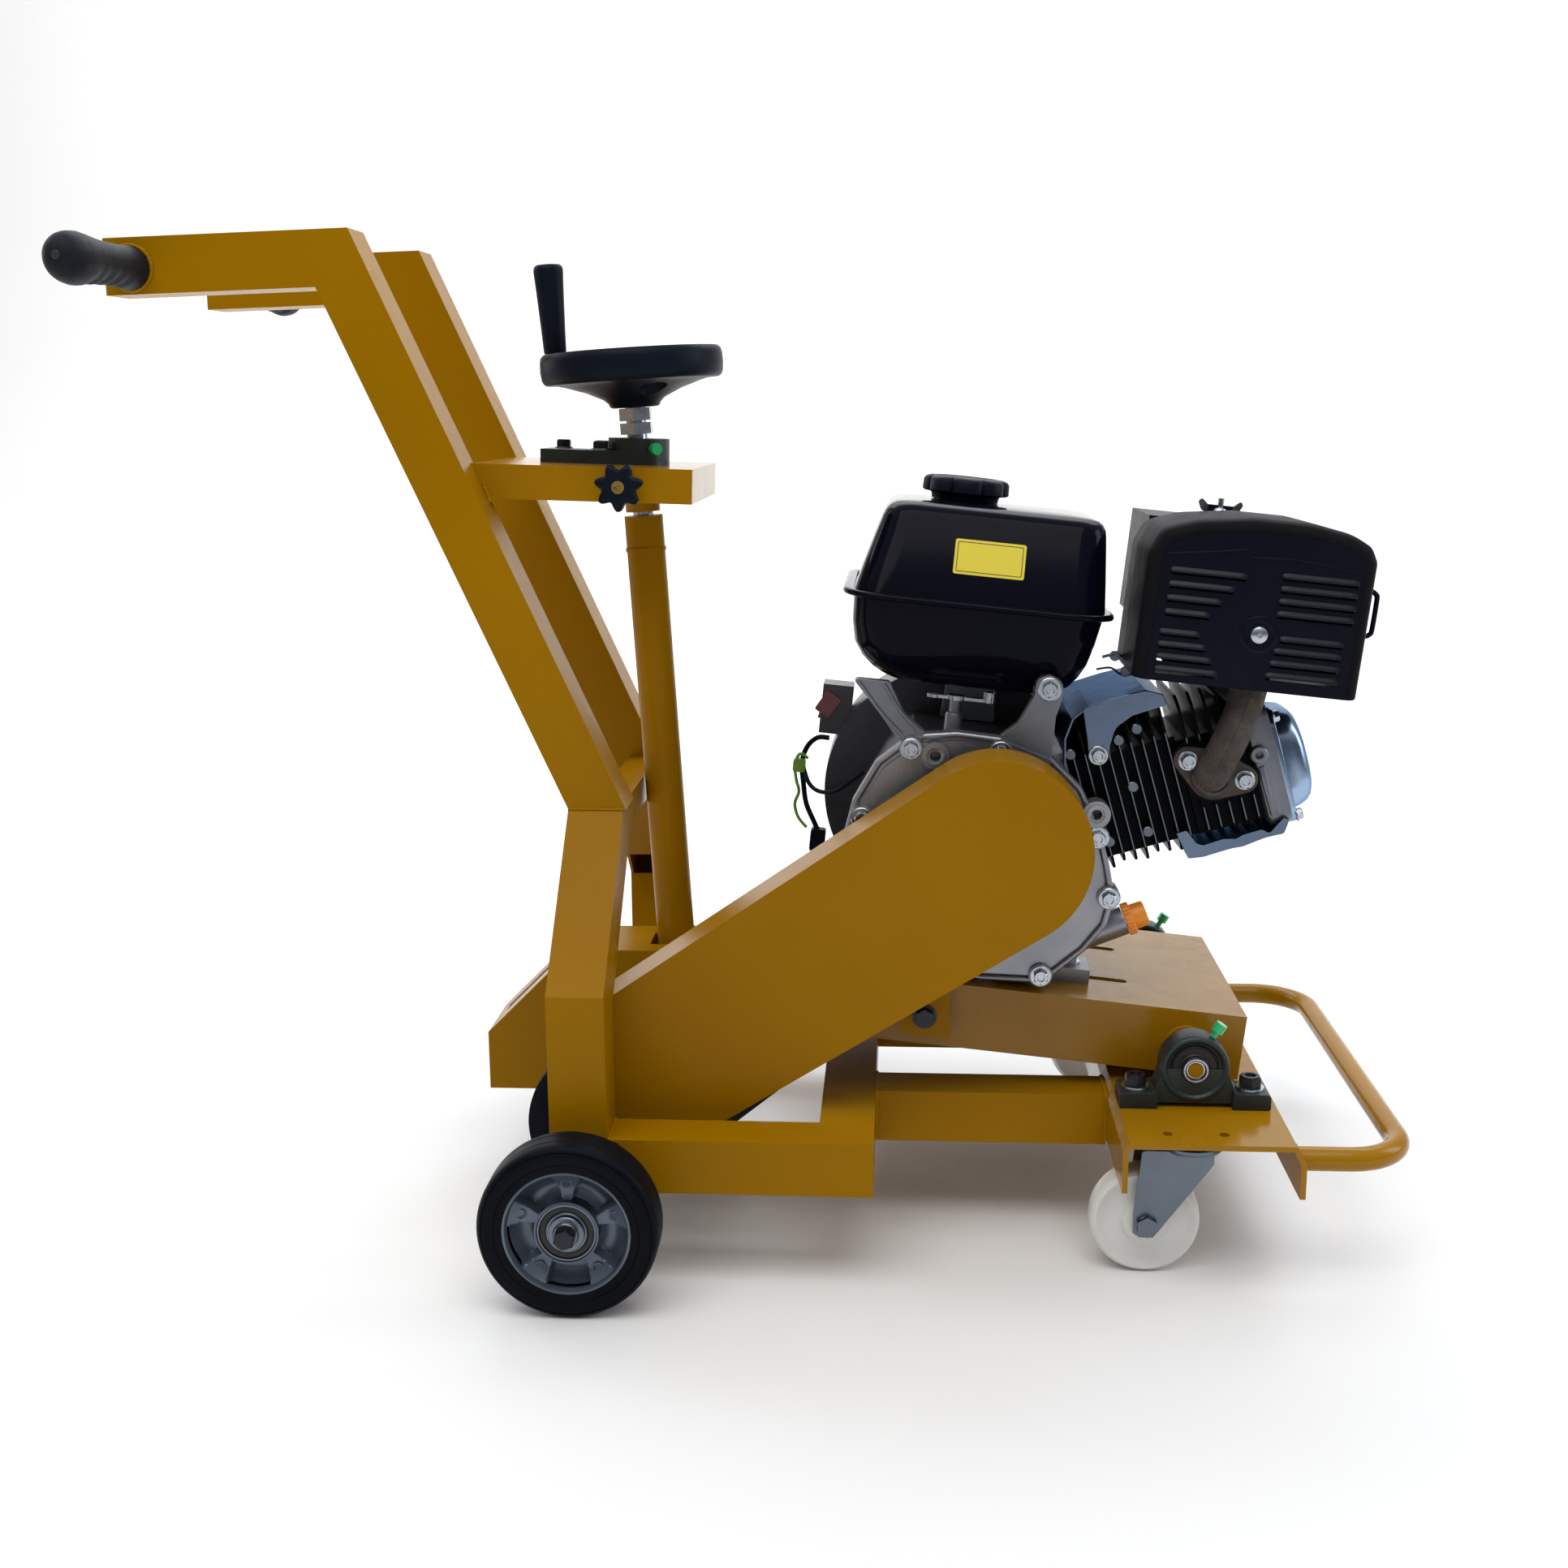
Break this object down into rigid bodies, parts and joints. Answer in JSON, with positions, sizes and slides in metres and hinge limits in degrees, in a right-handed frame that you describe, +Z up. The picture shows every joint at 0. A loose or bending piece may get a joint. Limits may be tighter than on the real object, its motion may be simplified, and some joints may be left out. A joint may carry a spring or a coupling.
{
  "type": "walk-behind concrete saw",
  "caption": "Walk-behind concrete saw: petrol engine on a hinged cradle, handwheel lift, belt-driven arbor under a hood, rear wheels and swivel casters.",
  "frame": {"origin": "on the ground, under the middle of the machine's box", "axes": "+X forwards, the way the saw is pushed, towards the bumper; +Y to its left; +Z up"},
  "size_m": [1.189, 0.736, 0.9367],
  "materials": {
    "frame_yellow": "gloss",
    "housing_green": "semi gloss paint",
    "black_plastic": "satin",
    "black_gloss": "high gloss",
    "black_satin": "satin",
    "zinc": "zinc plated",
    "dark_steel": "oiled",
    "cast_alu": "as cast",
    "alu_wheel": "as cast",
    "black_alu": "painted satin",
    "chrome_cover": "bright zinc",
    "rusty_pipe": "heat scaled",
    "tyre_rubber": "satin",
    "belt_rubber": "matte",
    "white_nylon": "satin",
    "green_plastic": "translucent look",
    "label_yellow": "printed film",
    "grey_plastic": "satin",
    "red_plastic": "satin",
    "orange_plastic": "satin"
  },
  "bodies": {
    "chassis": {"side_frame_right": "frame_yellow", "side_frame_left": "frame_yellow", "base_frame": "frame_yellow", "post_crossbar": "frame_yellow", "front_channel": "frame_yellow", "front_bumper": "frame_yellow", "lift_shelf": "frame_yellow", "handle_grips": "black_plastic", "pivot_blocks": "housing_green", "frame_bolts": "dark_steel", "grease_caps": "green_plastic", "screw_bearing": "housing_green", "wheel_axles": "zinc", "caster_mounts": "zinc"},
    "cradle": {"cradle_platform": "frame_yellow", "pivot_shaft": "zinc", "belt_guard": "frame_yellow", "guard_bolts": "dark_steel", "blade_hood": "frame_yellow", "arbor_housing": "housing_green", "drive_belts": "belt_rubber", "crankcase": "cast_alu", "crankcase_cover": "cast_alu", "engine_bolts": "zinc", "cylinder_block": "black_alu", "cylinder_head": "black_alu", "valve_cover": "chrome_cover", "cooling_shroud": "zinc", "fuel_tank": "black_gloss", "caution_label": "label_yellow", "tank_brackets": "cast_alu", "muffler": "dark_steel", "muffler_guard": "black_satin", "exhaust_pipe": "rusty_pipe", "air_cleaner": "black_plastic", "carburettor": "cast_alu", "fan_housing": "grey_plastic", "oil_filler": "cast_alu", "ignition_wires": "black_plastic"},
    "handwheel": {"handwheel": "black_plastic", "lift_screw": "zinc"},
    "crank_handle": {"crank_handle": "black_plastic"},
    "lift_tube": {"lift_tube": "frame_yellow"},
    "crankshaft": {"crankshaft": "dark_steel"},
    "arbor": {"blade_arbor": "zinc", "driven_pulley": "black_satin"},
    "rear_wheel_right": {"rear_tyre_right": "tyre_rubber", "rear_hub_right": "alu_wheel"},
    "rear_wheel_left": {"rear_tyre_left": "tyre_rubber", "rear_hub_left": "alu_wheel"},
    "caster_fork_right": {"caster_fork_right": "zinc"},
    "caster_wheel_right": {"caster_wheel_right": "white_nylon"},
    "caster_fork_left": {"caster_fork_left": "zinc"},
    "caster_wheel_left": {"caster_wheel_left": "white_nylon"},
    "lock_knob": {"lock_knob": "black_plastic"},
    "stop_switch": {"stop_switch": "red_plastic"},
    "fuel_cap": {"fuel_cap": "black_plastic"},
    "oil_cap": {"oil_cap": "orange_plastic"},
    "throttle_lever": {"throttle_lever": "zinc"},
    "starter_grip": {"starter_grip": "black_plastic"}
  },
  "joints": [
    {"name": "handwheel_turn", "type": "hinge", "parent": "chassis", "child": "handwheel", "pos_m": [-0.1055, 0, 0.216], "axis": [0.0576, 0, -0.9983], "range_deg": [0, 2880]},
    {"name": "cradle_tilt", "type": "hinge", "parent": "chassis", "child": "cradle", "pos_m": [0.3955, 0, 0.18], "axis": [0, -1, 0], "range_deg": [0, 3.66]},
    {"name": "lift_tube_slide", "type": "slide", "parent": "chassis", "child": "lift_tube", "axis": [0.0576, 0, -0.9983], "range_m": [0, 0.032]},
    {"name": "crank_handle_spin", "type": "hinge", "parent": "handwheel", "child": "crank_handle", "pos_m": [-0.21507, 0, 0.83071], "axis": [-0.0576, 0, 0.9983], "continuous": true},
    {"name": "crankshaft_turn", "type": "hinge", "parent": "cradle", "child": "crankshaft", "pos_m": [0.20971, 0, 0.37348], "axis": [0, 1, 0], "continuous": true},
    {"name": "arbor_turn", "type": "hinge", "parent": "cradle", "child": "arbor", "pos_m": [-0.1525, 0, 0.113], "axis": [0, 1, 0], "continuous": true},
    {"name": "rear_wheel_right_roll", "type": "hinge", "parent": "chassis", "child": "rear_wheel_right", "pos_m": [-0.1625, -0.3375, 0.08], "axis": [0, 1, 0], "continuous": true},
    {"name": "rear_wheel_left_roll", "type": "hinge", "parent": "chassis", "child": "rear_wheel_left", "pos_m": [-0.1625, 0.3375, 0.08], "axis": [0, 1, 0], "continuous": true},
    {"name": "caster_right_swivel", "type": "hinge", "parent": "chassis", "child": "caster_fork_right", "pos_m": [0.3885, -0.229, 0.11], "axis": [0, 0, 1], "continuous": true},
    {"name": "caster_right_roll", "type": "hinge", "parent": "caster_fork_right", "child": "caster_wheel_right", "pos_m": [0.3485, -0.229, 0.05], "axis": [0, 1, 0], "continuous": true},
    {"name": "caster_left_swivel", "type": "hinge", "parent": "chassis", "child": "caster_fork_left", "pos_m": [0.3885, 0.229, 0.11], "axis": [0, 0, 1], "continuous": true},
    {"name": "caster_left_roll", "type": "hinge", "parent": "caster_fork_left", "child": "caster_wheel_left", "pos_m": [0.3485, 0.229, 0.05], "axis": [0, 1, 0], "continuous": true},
    {"name": "lock_knob_turn", "type": "hinge", "parent": "chassis", "child": "lock_knob", "pos_m": [-0.137, -0.1135, 0.707], "axis": [0, -1, 0], "range_deg": [-720, 0]},
    {"name": "stop_switch_rock", "type": "hinge", "parent": "cradle", "child": "stop_switch", "pos_m": [0.05565, 0.1, 0.4671], "axis": [0, 1, 0], "range_deg": [-16, 0]},
    {"name": "fuel_cap_turn", "type": "hinge", "parent": "cradle", "child": "fuel_cap", "pos_m": [0.18432, 0.02, 0.68685], "axis": [0.1045, 0, 0.9945], "range_deg": [0, 90]},
    {"name": "oil_cap_turn", "type": "hinge", "parent": "cradle", "child": "oil_cap", "pos_m": [0.30792, -0.08, 0.27467], "axis": [0.9272, 0, 0.3746], "range_deg": [0, 1080]},
    {"name": "throttle_lever_swing", "type": "hinge", "parent": "cradle", "child": "throttle_lever", "pos_m": [0.17592, -0.062, 0.50171], "axis": [0.1045, 0, 0.9945], "range_deg": [-20, 30]},
    {"name": "starter_grip_pull", "type": "slide", "parent": "cradle", "child": "starter_grip", "axis": [0, 1, 0], "range_m": [0, 0.45], "stiffness_N_per_m": 30, "springref_m": -0.3}
  ],
  "couplings": [
    {"joint": "cradle_tilt", "follows": "handwheel_turn", "ratio": 0.0012693},
    {"joint": "lift_tube_slide", "follows": "handwheel_turn", "m_per_rad": 0.00063662},
    {"joint": "arbor_turn", "follows": "crankshaft_turn", "ratio": 0.66667}
  ]
}
